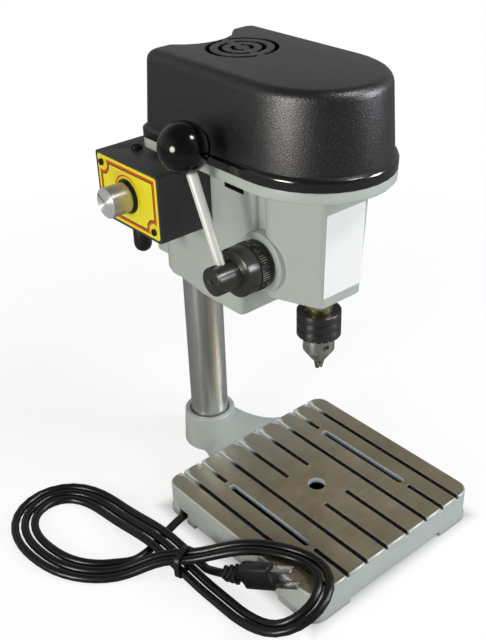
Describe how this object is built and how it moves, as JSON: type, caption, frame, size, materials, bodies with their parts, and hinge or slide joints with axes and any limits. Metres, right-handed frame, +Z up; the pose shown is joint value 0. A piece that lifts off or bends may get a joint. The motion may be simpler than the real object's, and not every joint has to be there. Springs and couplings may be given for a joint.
{
  "type": "benchtop drill press",
  "caption": "Small benchtop drill press with a slotted table, round column, clamped head, lever-fed quill, keyed chuck, lift-off belt cover, speed control box and tied mains lead.",
  "frame": {"origin": "centre of the column on the plane that the machine stands on", "axes": "+Z up along the column, -Y towards the operator and the table's front edge, -X towards the feed lever and the control box"},
  "size_m": [0.2717, 0.258, 0.336],
  "materials": {
    "casting": "semi-gloss light grey-green paint, milled bare on the table top",
    "polished_steel": "ground and polished",
    "bright_steel": "bright",
    "dark_steel": "blackened",
    "gilt_steel": "yellow zinc plated",
    "aluminium": "turned",
    "cover_plastic": "fine grain satin black",
    "gloss_plastic": "polished phenolic",
    "box_plastic": "matt black",
    "panel": "printed yellow overlay",
    "rubber": "satin black",
    "belt": "dull black",
    "board": "green board",
    "brass": "plain"
  },
  "bodies": {
    "base": {"base_casting": "casting", "column_set_screw": "dark_steel", "cord_floor_stretch": "rubber", "cord_hank": "rubber", "cord_tail": "rubber", "hank_tie": "rubber", "plug_body": "rubber", "plug_blade_1": "brass", "plug_blade_2": "brass"},
    "column": {"column_tube": "polished_steel"},
    "head": {"head_casting": "casting", "clamp_screw": "dark_steel", "cord_gland": "rubber", "cord_drop": "rubber", "motor_plate": "bright_steel", "motor_can": "dark_steel", "plate_screw_1": "bright_steel", "plate_screw_2": "bright_steel", "plate_screw_3": "bright_steel", "plate_screw_4": "bright_steel", "pulley_bearing": "bright_steel", "drive_belt": "belt", "quill_key_screw": "dark_steel", "pinion_bush_left": "brass", "pinion_bush_right": "brass", "spring_housing": "dark_steel", "return_spring": "bright_steel", "control_box_shell": "box_plastic", "control_panel": "panel", "panel_screw_1": "dark_steel", "panel_screw_2": "dark_steel", "circuit_board": "board", "box_top_screw": "dark_steel", "potentiometer": "dark_steel", "fuse_holder": "rubber"},
    "cover": {"belt_cover": "cover_plastic"},
    "feed": {"pinion_shaft": "bright_steel", "feed_hub": "dark_steel", "lever_rod": "bright_steel", "lever_ball": "gloss_plastic"},
    "depth_stop": {"depth_ring": "dark_steel"},
    "quill": {"quill_sleeve": "bright_steel", "quill_bearing_lower": "bright_steel", "quill_bearing_upper": "bright_steel"},
    "spindle": {"spindle_shaft": "bright_steel", "spindle_nut": "gilt_steel", "chuck_body": "bright_steel"},
    "chuck_ring": {"chuck_sleeve": "dark_steel", "chuck_ring_nut": "dark_steel"},
    "jaw_1": {"chuck_jaw_1": "bright_steel"},
    "jaw_2": {"chuck_jaw_2": "bright_steel"},
    "jaw_3": {"chuck_jaw_3": "bright_steel"},
    "pulley": {"spindle_pulley": "aluminium"},
    "motor_rotor": {"motor_pulley": "aluminium", "motor_shaft": "bright_steel"},
    "speed": {"speed_knob": "aluminium", "knob_skirt": "rubber", "knob_shaft": "bright_steel"},
    "fuse": {"fuse_cap": "rubber"}
  },
  "joints": [
    {"name": "column_swing", "type": "hinge", "parent": "base", "child": "column", "pos_m": [0, 0, 0.1], "axis": [0, 0, 1], "range_deg": [-60, 60]},
    {"name": "head_lift", "type": "slide", "parent": "column", "child": "head", "axis": [0, 0, 1], "range_m": [-0.08, 0.01], "deforming": ["cord_drop"]},
    {"name": "cover_lift", "type": "slide", "parent": "head", "child": "cover", "axis": [0, 0, 1], "range_m": [0, 0.06]},
    {"name": "feed_turn", "type": "hinge", "parent": "head", "child": "feed", "pos_m": [-0.04, -0.1035, 0.214], "axis": [1, 0, 0], "range_deg": [0, 152], "stiffness_Nm_per_rad": 0.1, "springref_deg": -143.24},
    {"name": "depth_ring_turn", "type": "hinge", "parent": "feed", "child": "depth_stop", "pos_m": [-0.0356, -0.1035, 0.214], "axis": [1, 0, 0], "range_deg": [-170, 170]},
    {"name": "quill_feed", "type": "slide", "parent": "head", "child": "quill", "axis": [0, 0, -1], "range_m": [0, 0.028]},
    {"name": "spindle_spin", "type": "hinge", "parent": "quill", "child": "spindle", "pos_m": [0, -0.127, 0.2], "axis": [0, 0, 1], "continuous": true},
    {"name": "chuck_turn", "type": "hinge", "parent": "spindle", "child": "chuck_ring", "pos_m": [0, -0.127, 0.168], "axis": [0, 0, -1], "range_deg": [0, 1440]},
    {"name": "jaw_1_slide", "type": "slide", "parent": "spindle", "child": "jaw_1", "axis": [0.1681, -0.174, 0.9703], "range_m": [0, 0.008]},
    {"name": "jaw_2_slide", "type": "slide", "parent": "spindle", "child": "jaw_2", "axis": [0.0667, 0.2326, 0.9703], "range_m": [0, 0.008]},
    {"name": "jaw_3_slide", "type": "slide", "parent": "spindle", "child": "jaw_3", "axis": [-0.2347, -0.0585, 0.9703], "range_m": [0, 0.008]},
    {"name": "pulley_spin", "type": "hinge", "parent": "head", "child": "pulley", "pos_m": [0, -0.127, 0.29], "axis": [0, 0, 1], "continuous": true},
    {"name": "motor_spin", "type": "hinge", "parent": "head", "child": "motor_rotor", "pos_m": [0, -0.056, 0.29], "axis": [0, 0, 1], "continuous": true},
    {"name": "speed_knob_turn", "type": "hinge", "parent": "head", "child": "speed", "pos_m": [-0.075, -0.0175, 0.245], "axis": [1, 0, 0], "range_deg": [0, 300]},
    {"name": "fuse_cap_turn", "type": "hinge", "parent": "head", "child": "fuse", "pos_m": [-0.06, -0.015, 0.21], "axis": [0, 0, 1], "range_deg": [0, 90]}
  ],
  "couplings": [
    {"joint": "quill_feed", "follows": "feed_turn", "m_per_rad": 0.0105},
    {"joint": "pulley_spin", "follows": "spindle_spin", "ratio": 1},
    {"joint": "motor_spin", "follows": "spindle_spin", "ratio": 1.7143},
    {"joint": "jaw_1_slide", "follows": "chuck_turn", "m_per_rad": 0.0003183},
    {"joint": "jaw_2_slide", "follows": "chuck_turn", "m_per_rad": 0.0003183},
    {"joint": "jaw_3_slide", "follows": "chuck_turn", "m_per_rad": 0.0003183}
  ]
}
